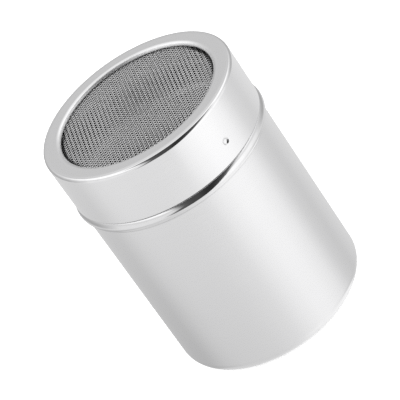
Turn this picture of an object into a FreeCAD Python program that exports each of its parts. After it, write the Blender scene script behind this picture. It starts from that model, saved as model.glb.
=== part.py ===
"""Powder and spice shaker in stainless sheet: a drawn can, a twist-on lid and a fine mesh screen.

Millimetres.  The can stands on the XY plane with its axis on +Z, and -Y is the front.
The driving sizes are plain numbers in the sheet "Sizes".  What follows from them, such as a
seat or a running fit, is a formula in the sheet "Fits".  Every piece is bound to those cells.
"""
import FreeCAD, Part
import math
import os
import Sketcher

SIZES = {
    "overall_height": 92.9,
    "body_diameter": 68.4,
    "can_sheet": 0.5,
    "base_corner": 4.6,
    "foot_width": 4.5,
    "panel_depth": 0.8,
    "panel_bend": 1.0,
    "bead_reach": 1.4,
    "bead_radius": 2.35,
    "bead_root": 0.5,
    "neck_step": 0.7,
    "neck_gap": 1.0,
    "thread_lead": 24.0,
    "thread_play": 0.1,
    "ridge_gap": 0.2,
    "ridge_drop": 4.2,
    "lid_sheet": 0.5,
    "skirt_length": 19.65,
    "skirt_gap": 0.15,
    "shoulder_width": 2.3,
    "shoulder_corner": 1.1,
    "shoulder_roll": 9.0,
    "rim_width": 6.62,
    "crown_width": 1.73,
    "crown_roll": 2.6,
    "lip_depth": 1.35,
    "lip_bend": 0.3,
    "dimple_diameter": 2.6,
    "dimple_gap": 0.25,
    "screen_thickness": 0.5,
    "screen_pitch": 3.0,
    "screen_bar": 0.6,
    "ring_sheet": 0.5,
    "ring_bend": 0.25,
    "ring_setback": 0.45,
    "ring_hem_length": 1.6,
    "running_gap": 0.05,
    "seat_gap": 0.05,
}

ANGLES = {
    "dimple_azimuth": -61.7,
    "ridge_behind": 25.0,
    "ridge_turn": 90.0,
    "weave_turn": 36.7,
}

SHARES = {
    "rim_round_share": 0.4,
    "dimple_wall_share": 0.9,
    "groove_radius_share": 0.75,
    "groove_inset_share": 0.8,
    "screen_reach_share": 0.7,
}

FITS = {
    "body_outer": "Sizes.body_diameter / 2",
    "foot_end": "body_outer - Sizes.base_corner",
    "panel_outer": "foot_end - Sizes.foot_width",
    "neck_outer": "body_outer - Sizes.neck_step",
    "neck_inner": "neck_outer - Sizes.can_sheet",
    "skirt_inner": "neck_outer + Sizes.neck_gap",
    "skirt_outer": "skirt_inner + Sizes.lid_sheet",
    "skirt_middle": "skirt_inner + Sizes.lid_sheet / 2",
    "skirt_edge": "Sizes.overall_height - Sizes.skirt_length",
    "under_top": "Sizes.overall_height - Sizes.lid_sheet",
    "shoulder_start": "skirt_outer - Sizes.shoulder_width",
    "corner_inside": "Sizes.shoulder_corner - Sizes.lid_sheet",
    "roll_inside": "Sizes.shoulder_roll - Sizes.lid_sheet",
    "pour_inner": "skirt_outer - Sizes.rim_width",
    "lip_outer": "pour_inner + Sizes.lid_sheet",
    "lip_end": "Sizes.overall_height - Sizes.lip_depth",
    "lip_bend_outside": "Sizes.lip_bend + Sizes.lid_sheet",
    "crown_start": "pour_inner + Sizes.crown_width",
    "crown_inside": "Sizes.crown_roll - Sizes.lid_sheet",
    "bead_centre": "body_outer + Sizes.bead_reach - Sizes.bead_radius",
    "bead_clearance": "Sizes.bead_radius + Sizes.skirt_gap",
    "bead_level": "skirt_edge - sqrt(bead_clearance ^ 2 - (skirt_inner - bead_centre) ^ 2)",
    "screen_top": "lip_end - Sizes.seat_gap",
    "screen_bottom": "screen_top - Sizes.screen_thickness",
    "ring_bottom": "screen_bottom - Sizes.ring_sheet",
    "ring_hem": "screen_bottom - Sizes.ring_hem_length",
    "ring_outer": "skirt_inner - Sizes.running_gap",
    "ring_wall": "ring_outer - Sizes.ring_sheet",
    "ring_bend_outside": "Sizes.ring_bend + Sizes.ring_sheet",
    "ring_bore": "lip_outer + Sizes.ring_setback",
    "screen_outer": "ring_outer - ring_bend_outside",
    "rim_level": "ring_bottom - Sizes.seat_gap",
    "rim_round": "Sizes.can_sheet * Sizes.rim_round_share",
    "dimple_wall": "Sizes.lid_sheet * Sizes.dimple_wall_share",
    "dent_depth": "skirt_outer - neck_outer - Sizes.dimple_gap - dimple_wall",
    "dent_radius": "(Sizes.dimple_diameter ^ 2 / 4 + dent_depth ^ 2) / (2 * dent_depth)",
    "dimple_centre": "skirt_outer - dent_depth + dent_radius",
    "boss_radius": "dent_radius + dimple_wall",
    "ridge_radius": "Sizes.neck_gap - Sizes.ridge_gap",
    "ridge_reach": "boss_radius + ridge_radius + Sizes.thread_play",
    "ridge_offset": "sqrt(ridge_reach ^ 2 - (dimple_centre - neck_outer) ^ 2)",
    "ridge_rise": "Sizes.thread_lead * Sizes.ridge_turn / 360",
    "ridge_low": "rim_level - Sizes.ridge_drop - ridge_rise",
    "dimple_level": "ridge_low + Sizes.thread_lead * Sizes.ridge_behind / 360 - ridge_offset",
    "groove_radius": "ridge_radius * Sizes.groove_radius_share",
    "groove_centre": "neck_outer - Sizes.can_sheet * Sizes.groove_inset_share",
}

START_COUNT = 3
FULL_TURN = 360

doc = FreeCAD.newDocument("powder_shaker")


def fill_sheet(label, cells):
    """A sheet with one named cell a row."""
    table = doc.addObject("Spreadsheet::Sheet", label)
    for row, (alias, content) in enumerate(cells.items(), start=1):
        table.set(f"A{row}", alias)
        table.setAlias(f"B{row}", alias)
        table.set(f"B{row}", str(content))
    return table


sizes = fill_sheet("Sizes", SIZES | ANGLES | SHARES)
fits = fill_sheet("Fits", {alias: "=" + text for alias, text in FITS.items()})
doc.recompute()


def value(name):
    """The present value of a named size."""
    return float((fits if name in FITS else sizes).get(name))


def cell(name):
    """The cell that a named size stands in."""
    return ("Fits." if name in FITS else "Sizes.") + name


def bind(thing, **links):
    """Bind properties of an object to named sizes."""
    for prop, name in links.items():
        thing.setExpression(prop, cell(name))


def lift(thing, name):
    """Set an object at a named height."""
    thing.setExpression("Placement.Base.z", cell(name))


# Outlines, drawn head to tail in the half plane of radius and height

START, END, CENTRE = range(1, 4)
GROUND, AXIS = range(-1, -3, -1)
ORIGIN = GROUND


class Outline:
    """A closed sketch on the XZ plane, whose measures are bound to named sizes."""

    def __init__(self, body, name):
        self.sketch = body.newObject("Sketcher::SketchObject", name)
        plane = next(face for face in body.Origin.OriginFeatures if face.Role == "XZ_Plane")
        self.sketch.AttachmentSupport = [(plane, "")]
        self.sketch.MapMode = "FlatFace"
        self.run = []

    def line(self, start, end):
        """A straight stretch from one point to the next."""
        segment = Part.LineSegment(FreeCAD.Vector(*start, 0), FreeCAD.Vector(*end, 0))
        number = self.sketch.addGeometry(segment, False)
        self.run.append((number, START, END))
        return number

    def arc(self, centre, radius, first, last):
        """An arc from one direction to another, in degrees; a falling angle turns clockwise."""
        circle = Part.Circle(FreeCAD.Vector(*centre, 0), FreeCAD.Vector(0, 0, 1), radius)
        low, high = sorted((math.radians(first), math.radians(last)))
        number = self.sketch.addGeometry(Part.ArcOfCircle(circle, low, high), False)
        ends = (START, END) if last > first else (END, START)
        self.run.append((number, *ends))
        return number

    def close(self, corners):
        """Join every piece to the next: with a corner after the ones named, else smoothly."""
        for one, two in zip(self.run, self.run[1:] + self.run[:1]):
            kind = "Coincident" if one[0] in corners else "Tangent"
            self.add(kind, one[0], one[2], two[0], two[1])

    def add(self, *terms):
        return self.sketch.addConstraint(Sketcher.Constraint(*terms))

    def flat(self, *numbers):
        """Pieces that run level."""
        for number in numbers:
            self.add("Horizontal", number)

    def upright(self, *numbers):
        """Pieces that run parallel to the axis."""
        for number in numbers:
            self.add("Vertical", number)

    def touch(self, number, point, where):
        """A point that lies on the ground or on the axis."""
        self.add("PointOnObject", number, point, where)

    def across(self, number, point, name):
        """A point's radius."""
        index = self.add("DistanceX", ORIGIN, START, number, point, value(name))
        self.sketch.setExpression(f"Constraints[{index}]", cell(name))

    def up(self, number, point, name):
        """A point's height."""
        index = self.add("DistanceY", ORIGIN, START, number, point, value(name))
        self.sketch.setExpression(f"Constraints[{index}]", cell(name))

    def bend(self, number, name):
        """An arc's radius."""
        index = self.add("Radius", number, value(name))
        self.sketch.setExpression(f"Constraints[{index}]", cell(name))


def revolve(body, outline, name):
    """Turn an outline right round the axis."""
    turned = body.newObject("PartDesign::Revolution", name)
    turned.Profile = outline.sketch
    turned.ReferenceAxis = (outline.sketch, ["V_Axis"])
    turned.Angle = FULL_TURN
    doc.recompute()
    return turned


# The can: one drawn cup with a pressed base panel, a rolled bead and a neck stepped in above it


def can_outline(body):
    """The can's outside, from the base panel up to the rim, closed along the axis."""
    depth = value("panel_depth")
    fold = value("panel_bend")
    swing = math.degrees(math.acos(1 - depth / (2 * fold)))
    panel_end = value("panel_outer")
    foot_start = panel_end + 2 * fold * math.sin(math.radians(swing))
    wall, neck, rim = value("body_outer"), value("neck_outer"), value("rim_level")
    corner, root, bead = value("base_corner"), value("bead_root"), value("bead_radius")
    middle, level = value("bead_centre"), value("bead_level")
    reach = root + bead
    below = math.sqrt(reach ** 2 - (wall + root - middle) ** 2)
    above = math.sqrt(reach ** 2 - (neck + root - middle) ** 2)
    low_turn = math.degrees(math.atan2(below, middle - wall - root))
    high_turn = math.degrees(math.atan2(above, neck + root - middle))
    half, quarter = FULL_TURN / 2, FULL_TURN / 4

    outline = Outline(body, "can_outline")
    panel = outline.line((0, depth), (panel_end, depth))
    fall = outline.arc((panel_end, depth - fold), fold, quarter, quarter - swing)
    rise = outline.arc((foot_start, fold), fold, 3 * quarter - swing, 3 * quarter)
    foot = outline.line((foot_start, 0), (wall - corner, 0))
    edge = outline.arc((wall - corner, corner), corner, 3 * quarter, FULL_TURN)
    side = outline.line((wall, corner), (wall, level - below))
    low_root = outline.arc((wall + root, level - below), root, half, low_turn)
    roll = outline.arc((middle, level), bead, low_turn - half, high_turn)
    high_root = outline.arc((neck + root, level + above), root, high_turn + half, half)
    collar = outline.line((neck, level + above), (neck, rim))
    mouth = outline.line((neck, rim), (0, rim))
    outline.line((0, rim), (0, depth))
    outline.close(corners=(collar, mouth, mouth + 1))

    outline.flat(panel, foot, mouth)
    outline.upright(side, collar)
    outline.touch(panel, START, AXIS)
    outline.touch(mouth, END, AXIS)
    outline.touch(foot, START, GROUND)
    outline.across(panel, END, "panel_outer")
    outline.up(panel, END, "panel_depth")
    outline.bend(fall, "panel_bend")
    outline.bend(rise, "panel_bend")
    outline.bend(edge, "base_corner")
    outline.across(side, END, "body_outer")
    outline.bend(low_root, "bead_root")
    outline.bend(roll, "bead_radius")
    outline.across(roll, CENTRE, "bead_centre")
    outline.up(roll, CENTRE, "bead_level")
    outline.bend(high_root, "bead_root")
    outline.across(collar, END, "neck_outer")
    outline.up(collar, END, "rim_level")
    return outline


def can_shell():
    """The can's sheet, hollowed from its outside and open at the rim."""
    body = doc.addObject("PartDesign::Body", "can_shell")
    solid = revolve(body, can_outline(body), "can_solid")
    mouth = highest_face(solid.Shape)
    hollow = body.newObject("PartDesign::Thickness", "can_sheet")
    hollow.Base = (solid, [mouth])
    hollow.Reversed = True
    hollow.Join = "Intersection"
    bind(hollow, Value="can_sheet")
    doc.recompute()
    rim = hollow.Shape.getElement(highest_face(hollow.Shape))
    edges = [f"Edge{i}" for i, edge in enumerate(hollow.Shape.Edges, start=1)
             if any(edge.isSame(side) for side in rim.Edges)]
    rounded = body.newObject("PartDesign::Fillet", "can_rim")
    rounded.Base = (hollow, edges)
    bind(rounded, Radius="rim_round")
    doc.recompute()
    return body


def highest_face(shape):
    """The name of the face whose middle lies highest."""
    heights = [face.CenterOfMass.z for face in shape.Faces]
    return f"Face{heights.index(max(heights)) + 1}"


def rib(name, centre, radius, azimuth):
    """A round bar along one thread start, with a ball at each end."""
    spine = doc.addObject("Part::Helix", f"{name}_line")
    bind(spine, Radius=centre, Pitch="thread_lead", Height="ridge_rise")
    lift(spine, "ridge_low")
    spine.Placement.Rotation = FreeCAD.Rotation(FreeCAD.Vector(0, 0, 1), azimuth)
    slope = math.degrees(math.atan2(value("thread_lead"), 2 * math.pi * value(centre)))
    section = doc.addObject("Part::Circle", f"{name}_section")
    bind(section, Radius=radius)
    tilt = FreeCAD.Rotation(FreeCAD.Vector(1, 0, 0), slope - FULL_TURN / 4)
    turn = FreeCAD.Rotation(FreeCAD.Vector(0, 0, 1), azimuth)
    section.Placement.Rotation = turn.multiply(tilt)
    place(section, centre, azimuth, "ridge_low")
    bar = doc.addObject("Part::Sweep", f"{name}_bar")
    bar.Sections = [section]
    bar.Spine = (spine, ["Edge1"])
    bar.Solid = True
    bar.Frenet = True
    near = ball(f"{name}_near", radius, centre, azimuth, "ridge_low")
    far = ball(f"{name}_far", radius, centre, azimuth + value("ridge_turn"), "ridge_low")
    far.setExpression("Placement.Base.z", f"{cell('ridge_low')} + {cell('ridge_rise')}")
    return [bar, near, far]


def place(thing, radius, azimuth, level):
    """Set an object at a named radius and height, at an azimuth in degrees."""
    thing.setExpression("Placement.Base.x", f"{cell(radius)} * cos({azimuth} deg)")
    thing.setExpression("Placement.Base.y", f"{cell(radius)} * sin({azimuth} deg)")
    lift(thing, level)


def ball(name, size, radius, azimuth, level):
    """A sphere at a named radius and height."""
    sphere = doc.addObject("Part::Sphere", name)
    bind(sphere, Radius=size)
    place(sphere, radius, azimuth, level)
    return sphere


def drum(name, radius):
    """A plain cylinder on the axis, as tall as the whole part."""
    cylinder = doc.addObject("Part::Cylinder", name)
    bind(cylinder, Radius=radius, Height="overall_height")
    return cylinder


def fuse(name, shapes):
    """Several solids as one."""
    joined = doc.addObject("Part::MultiFuse", name)
    joined.Shapes = shapes
    joined.Refine = True
    return joined


def cut(name, base, tool):
    """One solid less another."""
    rest = doc.addObject("Part::Cut", name)
    rest.Base = base
    rest.Tool = tool
    rest.Refine = True
    return rest


def azimuths():
    """The azimuths of the dimples, evenly round the axis."""
    return [value("dimple_azimuth") + FULL_TURN * i / START_COUNT for i in range(START_COUNT)]


def can_body():
    """The can's sheet with its rolled thread ridges, each hollow behind."""
    ridges = []
    hollows = []
    for i, azimuth in enumerate(azimuths()):
        start = azimuth - value("ridge_behind")
        ridges += rib(f"ridge_{i}", "neck_outer", "ridge_radius", start)
        hollows += rib(f"hollow_{i}", "groove_centre", "groove_radius", start)
    outside = cut("ridges_outside", fuse("ridges", ridges), drum("neck_bore", "neck_inner"))
    whole = fuse("can_with_ridges", [can_shell(), outside])
    return cut("can_body", whole, fuse("hollows", hollows))


# The lid: a drawn cap with a pour hole, its lip turned down, and dimples that ride the ridges


def cap_outline(body):
    """The cap's sheet in section, up the skirt, over the top, round the lip and back."""
    edge, top, under = value("skirt_edge"), value("overall_height"), value("under_top")
    outer, inner = value("skirt_outer"), value("skirt_inner")
    corner, roll = value("shoulder_corner"), value("shoulder_roll")
    corner_inside, roll_inside = value("corner_inside"), value("roll_inside")
    flat_end = value("shoulder_start")
    turn = math.degrees(math.asin((outer - corner - flat_end) / (roll - corner)))
    corner_level = top - roll + (roll - corner) * math.cos(math.radians(turn))
    corner_middle = (outer - corner, corner_level)
    roll_middle = (flat_end, top - roll)
    hole, lip, lip_end = value("pour_inner"), value("lip_outer"), value("lip_end")
    fold, fold_outside = value("lip_bend"), value("lip_bend_outside")
    crown, crown_inside = value("crown_roll"), value("crown_inside")
    crown_start = value("crown_start")
    dip = math.degrees(math.asin((crown_start - hole - fold_outside) / (crown - fold_outside)))
    fold_level = top - crown + (crown - fold_outside) * math.cos(math.radians(dip))
    fold_middle = (hole + fold_outside, fold_level)
    crown_middle = (crown_start, top - crown)
    half, quarter = FULL_TURN / 2, FULL_TURN / 4

    outline = Outline(body, "cap_outline")
    skirt = outline.line((outer, edge), (outer, corner_level))
    shoulder = outline.arc(corner_middle, corner, 0, quarter - turn)
    easing = outline.arc(roll_middle, roll, quarter - turn, quarter)
    face = outline.line((flat_end, top), (crown_start, top))
    fall = outline.arc(crown_middle, crown, quarter, quarter + dip)
    over = outline.arc(fold_middle, fold_outside, quarter + dip, half)
    lip_face = outline.line((hole, fold_level), (hole, lip_end))
    lip_edge = outline.line((hole, lip_end), (lip, lip_end))
    lip_back = outline.line((lip, lip_end), (lip, fold_level))
    beneath = outline.arc(fold_middle, fold, half, quarter + dip)
    fall_inside = outline.arc(crown_middle, crown_inside, quarter + dip, quarter)
    back = outline.line((crown_start, under), (flat_end, under))
    easing_inside = outline.arc(roll_middle, roll_inside, quarter, quarter - turn)
    shoulder_inside = outline.arc(corner_middle, corner_inside, quarter - turn, 0)
    lining = outline.line((inner, corner_level), (inner, edge))
    hem = outline.line((inner, edge), (outer, edge))
    outline.close(corners=(lip_face, lip_edge, lining, hem))

    outline.upright(skirt, lip_face, lip_back, lining)
    outline.flat(face, lip_edge, back, hem)
    outline.across(skirt, START, "skirt_outer")
    outline.up(skirt, START, "skirt_edge")
    outline.bend(shoulder, "shoulder_corner")
    outline.bend(easing, "shoulder_roll")
    outline.across(easing, CENTRE, "shoulder_start")
    outline.up(face, START, "overall_height")
    outline.bend(fall, "crown_roll")
    outline.across(fall, CENTRE, "crown_start")
    outline.bend(over, "lip_bend_outside")
    outline.across(lip_face, END, "pour_inner")
    outline.up(lip_face, END, "lip_end")
    outline.across(lip_back, START, "lip_outer")
    outline.bend(beneath, "lip_bend")
    outline.bend(fall_inside, "crown_inside")
    outline.across(fall_inside, CENTRE, "crown_start")
    outline.up(back, START, "under_top")
    outline.bend(easing_inside, "roll_inside")
    outline.across(easing_inside, CENTRE, "shoulder_start")
    outline.bend(shoulder_inside, "corner_inside")
    outline.across(lining, END, "skirt_inner")
    return outline


def lid_cap():
    """The cap with its dimples: round dents outside, with a boss behind each inside the skirt."""
    body = doc.addObject("PartDesign::Body", "cap_shell")
    revolve(body, cap_outline(body), "cap_turned")
    core = drum("skirt_core", "skirt_middle")
    bosses = []
    dents = []
    for i, azimuth in enumerate(azimuths()):
        lump = ball(f"boss_ball_{i}", "boss_radius", "dimple_centre", azimuth, "dimple_level")
        boss = doc.addObject("Part::MultiCommon", f"boss_{i}")
        boss.Shapes = [lump, core]
        bosses.append(boss)
        dents.append(ball(f"dent_{i}", "dent_radius", "dimple_centre", azimuth, "dimple_level"))
    return cut("lid_cap", fuse("cap_with_bosses", [body, *bosses]), fuse("dents", dents))


# What the lid holds: the screen, and the pressed ring that clamps its edge against the lip


def screen_ring():
    """A flat ring under the screen's edge, its own edge turned down inside the skirt."""
    seat, under, hem = value("screen_bottom"), value("ring_bottom"), value("ring_hem")
    bore, wall, outer = value("ring_bore"), value("ring_wall"), value("ring_outer")
    fold, fold_outside = value("ring_bend"), value("ring_bend_outside")
    bend_middle = (wall - fold, seat - fold_outside)
    quarter = FULL_TURN / 4

    body = doc.addObject("PartDesign::Body", "screen_ring")
    outline = Outline(body, "ring_outline")
    flange = outline.line((bore, seat), (wall - fold, seat))
    turn = outline.arc(bend_middle, fold_outside, quarter, 0)
    outside = outline.line((outer, seat - fold_outside), (outer, hem))
    edge = outline.line((outer, hem), (wall, hem))
    inside = outline.line((wall, hem), (wall, seat - fold_outside))
    turn_inside = outline.arc(bend_middle, fold, 0, quarter)
    beneath = outline.line((wall - fold, under), (bore, under))
    hole = outline.line((bore, under), (bore, seat))
    outline.close(corners=(outside, edge, beneath, hole))

    outline.flat(flange, edge, beneath)
    outline.upright(outside, inside, hole)
    outline.across(flange, START, "ring_bore")
    outline.up(flange, START, "screen_bottom")
    outline.bend(turn, "ring_bend_outside")
    outline.across(outside, END, "ring_outer")
    outline.up(outside, END, "ring_hem")
    outline.across(inside, START, "ring_wall")
    outline.bend(turn_inside, "ring_bend")
    outline.up(beneath, START, "ring_bottom")
    revolve(body, outline, "ring_turned")
    return body


def mesh_screen():
    """The screen: one flat round face with square gaps in rows, as thick as the woven wires."""
    pitch = value("screen_pitch")
    side = pitch - value("screen_bar")
    reach = value("pour_inner") - side * value("screen_reach_share")
    steps = int(reach // pitch)
    up = FreeCAD.Vector(0, 0, 1)
    rim = Part.Wire(Part.Circle(FreeCAD.Vector(0, 0, 0), up, value("screen_outer")).toShape())
    gaps = []
    for i in range(-steps, steps + 1):
        for j in range(-steps, steps + 1):
            if math.hypot(i, j) * pitch <= reach:
                corner = FreeCAD.Vector(i * pitch - side / 2, j * pitch - side / 2, 0)
                gap = Part.makePlane(side, side, corner, up)
                gaps.append(gap.OuterWire)
    holed = Part.Face(rim).cut(Part.makeCompound([Part.Face(gap) for gap in gaps]))
    screen = doc.addObject("Part::Feature", "mesh_screen")
    screen.Shape = holed.Faces[0].extrude(up * value("screen_thickness"))
    screen.Placement.Rotation = FreeCAD.Rotation(up, value("weave_turn"))
    screen.Placement.Base.z = value("screen_bottom")
    print(f"screen gaps: {len(gaps)}")
    return screen


def check_and_write(pieces):
    """Stop on any failed object or bad shape, then write one file a piece."""
    doc.recompute()
    for thing in doc.Objects:
        if {"Invalid", "Error"} & set(thing.State):
            raise RuntimeError(f"{thing.Name} failed: {thing.State}")
    for piece in pieces:
        if piece.Shape.isNull() or not piece.Shape.isValid():
            raise RuntimeError(f"{piece.Label} has no valid shape")
        box = piece.Shape.BoundBox
        print(f"{piece.Label}: {len(piece.Shape.Solids)} solid, {piece.Shape.Volume:.1f} mm3, "
              f"z {box.ZMin:.2f} to {box.ZMax:.2f}, across {box.XLength:.2f}")
    os.makedirs("parts", exist_ok=True)
    for piece in pieces:
        piece.Shape.exportStep(f"parts/{piece.Label}.step")


check_and_write([can_body(), lid_cap(), mesh_screen(), screen_ring()])
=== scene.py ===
"""Looks of the powder shaker: spun sheet steel, a woven wire screen and a pale studio.

Metres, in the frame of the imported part: the axis is +Z and the front is -Y.
"""
import math

import bpy
import numpy as np
from mathutils import Matrix, Vector


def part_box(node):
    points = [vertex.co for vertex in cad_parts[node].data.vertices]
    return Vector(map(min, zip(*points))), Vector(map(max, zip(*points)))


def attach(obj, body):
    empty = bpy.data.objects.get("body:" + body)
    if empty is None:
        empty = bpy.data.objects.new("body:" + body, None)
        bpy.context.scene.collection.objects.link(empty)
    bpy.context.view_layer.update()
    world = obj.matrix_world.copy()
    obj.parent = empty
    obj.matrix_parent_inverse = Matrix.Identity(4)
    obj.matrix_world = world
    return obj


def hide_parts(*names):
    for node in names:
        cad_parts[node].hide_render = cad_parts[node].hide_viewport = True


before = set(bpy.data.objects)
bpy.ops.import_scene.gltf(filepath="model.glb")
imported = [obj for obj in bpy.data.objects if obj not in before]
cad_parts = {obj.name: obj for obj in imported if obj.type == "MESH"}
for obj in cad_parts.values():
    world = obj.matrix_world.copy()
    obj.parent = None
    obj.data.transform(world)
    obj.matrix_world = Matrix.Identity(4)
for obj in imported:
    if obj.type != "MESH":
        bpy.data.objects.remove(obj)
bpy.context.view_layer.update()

bl_info = {
    "name": "Powder shaker looks",
    "version": (1, 0, 0),
    "blender": (4, 5, 0),
    "location": "3D View > Sidebar > Shaker",
    "description": "Builds the sheet, the screen and the studio round the packed shaker",
    "category": "Object",
}

MM = 0.001
QUARTER, HALF, FULL = 90.0, 180.0, 360.0
DIMPLES = 3
RING_BORE = 29.33 * MM

# Spacing of the points along the sections, and of the directions round the axis in degrees.  A
# straight stretch has a point close to each end, and the fine spacing goes a little past a dimple
LONG_PITCH, SKIRT_PITCH, NECK_PITCH, DIMPLE_PITCH = 8 * MM, 2 * MM, 0.35 * MM, 0.25 * MM
EDGE_HOLD = 0.12 * MM
DIMPLE_ROOM = 2.2 * MM
TURN_STEP, FINE_STEP, FINE_REACH, FINE_CLEAR = 1.0, 0.25, 4.0, 0.3
HALF_ROUND_STEP = 30.0

# The curvature that counts as fully sharp, how much wider a dimple is on the inner face, and how
# far outside the pour hole the polish ends
SHARP_BEND = 1 / (1.5 * MM)
DIMPLE_SPREAD = 0.2 * MM
LIP_DULL_REACH = 0.4 * MM

# The weave: corners of a wire's section, steps to a wave, how far a wire strays as a share of its
# pitch, over what length, and the range of tones in each set.  The warp's tones are painted
# highlight and the weft's painted shade, and each wire's place in its range is random
WIRE_CORNERS, WAVE_STEPS = 6, 4
STRAY_SHARE, STRAY_LENGTH = 0.02, 9 * MM
WARP_LIT_TONES, WEFT_SHADED_TONES = (0.95, 1.0), (0.35, 0.55)
WEAVE_SEED = 20

# Finishes: factors on the steel's colour, and what is added to its roughness.  The factor for the
# inner faces is painted shade inside the can and under the lid, and the rubbed factor also helps
# paint a light arc in the bead's groove there.  The pair for the wires runs from painted shade to
# painted highlight, and the dark factor along the lip is a painted shadow in the seam with the
# screen
CLOUD_SHADES, LINE_SHADE, RUB_SHADE, INNER_PAINTED_SHADE = (0.965, 1.03), 0.97, 1.08, 0.50
CLOUD_DULL, LINE_DULL, SPECK_DULL, RUB_DULL, LIP_DULL = 0.08, 0.03, 0.04, -0.05, 0.40
WIRE_PAINTED_SHADE_TO_LIGHT, WIRE_CLOUD_SHADE, LIP_PAINTED_SHADOW = (0.25, 1.06), 0.9, 0.06
WIRE_CLOUD_DULL = 0.12
LINE_HEIGHT = 0.004 * MM

# The studio as the polished steel shows it.  Tones by direction: the table by azimuth from the
# front in degrees, with its loss in the depth, then what stands behind and above by height
TENT_TOP = 1.4
TABLE_TONES = ((-180, 0.74), (-155, 0.74), (-133, 0.75), (-115, 0.78), (-98, 0.87), (-85, 0.915),
               (-69, 0.93), (-45, 0.92), (-23, 0.93), (-12, 0.965), (0, 1.01), (9, 1.07),
               (19, 1.14), (30, 1.20), (41, 1.24), (59, 1.21), (78, 1.08), (92, 0.91),
               (109, 0.81), (121, 0.80), (130, 0.83), (155, 0.83), (180, 0.74))
TABLE_NEAR = (-0.60, -0.80, -1.0, 0.35)
TABLE_FALL = (-0.49, -0.575)
TABLE_LOSS = (-120.0, -20.0, 0.28, 0.10)
HEIGHT_TONES = ((-1.0, 0.8), (-0.5, 0.75), (-0.2, 0.52), (0.1, 0.50), (0.3, 0.60), (0.45, 0.68),
                (0.55, 0.70), (0.66, 0.90), (0.74, 0.98), (1.0, 0.98))
BEHIND_REACH, BEHIND_RISE, ABOVE_RISE = (0.0, 0.5), (-0.45, -0.2), (0.25, 0.65)
GLOW_REACH, GLOW_RISE, GLOW_TONE = (0.10, 0.40), (0.38, 0.66), 0.27

# The dark strip in front: where it starts and ends on its way up, in degrees, how its foot is
# swept up to the right and its left edge leans, and its tones from left to right
STRIP_FOOT, STRIP_HEAD = (-30.0, -25.0), (101.0, 93.0)
STRIP_LEFT, STRIP_RIGHT = (-0.52, -0.30), (0.73, 0.50)
STRIP_BEND = (0.05, 160.0)
STRIP_LEAN = (-25.0, 10.0, 0.18, -0.02)
STRIP_TONES = ((-1.0, 0.14), (-0.31, 0.115), (-0.15, 0.078), (0.0, 0.068), (0.15, 0.035),
               (0.31, 0.045), (0.46, 0.09), (1.0, 0.20))
EVEN_TONE = 0.9

# Lamps as place, size and power, the floor, and the point that the camera looks at
LAMPS = {"key_lamp": ((-0.25, -0.45, 0.75), 0.6, 3.0), "fill_lamp": ((0.55, -0.25, 0.6), 0.7, 2.0)}
LAMP_AIM = (0, 0, 0.04)
FLOOR_RADIUS, FLOOR_SIDES = 3.0, 96
AIM_SIDE, AIM_LEVEL, AIM_UP = -0.646 * MM, 45 * MM, 3.543 * MM
CLIP_NEAR, CLIP_FAR = 0.05, 20.0

_, CAN_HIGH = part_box("can_body")
LID_LOW, LID_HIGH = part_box("lid_cap")
SCREEN_LOW, SCREEN_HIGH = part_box("mesh_screen")
RING_LOW, RING_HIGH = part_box("screen_ring")


def length(label, description, millimetres):
    """A length that a user can change, shown in the scene's units."""
    return bpy.props.FloatProperty(
        name=label, description=description, default=millimetres * MM,
        min=0.0, precision=5, unit="LENGTH")


def turn(label, description, degrees):
    """An angle that a user can change."""
    return bpy.props.FloatProperty(
        name=label, description=description, default=math.radians(degrees), unit="ROTATION")


def share(label, description, default):
    """A share from 0 to 1."""
    return bpy.props.FloatProperty(
        name=label, description=description, default=default, min=0.0, max=1.0, subtype="FACTOR")


def colour(label, description, default):
    """A plain colour."""
    return bpy.props.FloatVectorProperty(
        name=label, description=description, default=default, min=0.0, max=1.0,
        size=3, subtype="COLOR")


class ShakerCanSizes(bpy.types.PropertyGroup):
    sheet: length("Sheet", "Thickness of the can's sheet", 0.5)
    wall_radius: length("Wall radius", "Outside radius of the can below the bead", 34.2)
    base_corner: length("Base corner", "Radius of the rounded lower edge", 4.6)
    panel_radius: length("Panel radius", "Where the flat base panel ends", 25.1)
    panel_depth: length("Panel depth", "How far the base panel stands off the ground", 0.8)
    panel_fold: length("Panel fold", "Radius of the folds round the base panel", 1.0)
    bead_radius: length("Bead radius", "Radius of the rolled bead's section", 2.35)
    bead_middle: length("Bead middle", "Distance of the bead's section from the axis", 33.24)
    bead_level: length("Bead level", "Height of the bead's middle", 71.085)
    bead_root: length("Bead root", "Radius where the bead leaves the wall", 0.5)
    neck_radius: length("Neck radius", "Outside radius of the neck under the lid", 33.5)
    ridge_height: length("Ridge height", "How far a thread ridge stands out", 0.8)
    ridge_reach: length("Ridge reach", "Half the width of a thread ridge", 1.2)
    hollow_height: length("Hollow height", "How deep the back of a ridge is", 0.7)
    hollow_reach: length("Hollow reach", "Half the width of the hollow behind a ridge", 1.0)
    ridge_drop: length("Ridge drop", "From the rim down to the high end of a ridge", 4.2)
    thread_lead: length("Thread lead", "How far the thread rises in a full turn", 24.0)
    ridge_turn: turn("Ridge turn", "How far round a ridge goes", 90.0)
    ridge_behind: turn("Ridge behind", "From a ridge's low end to the dimple on it", 25.0)


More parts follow.
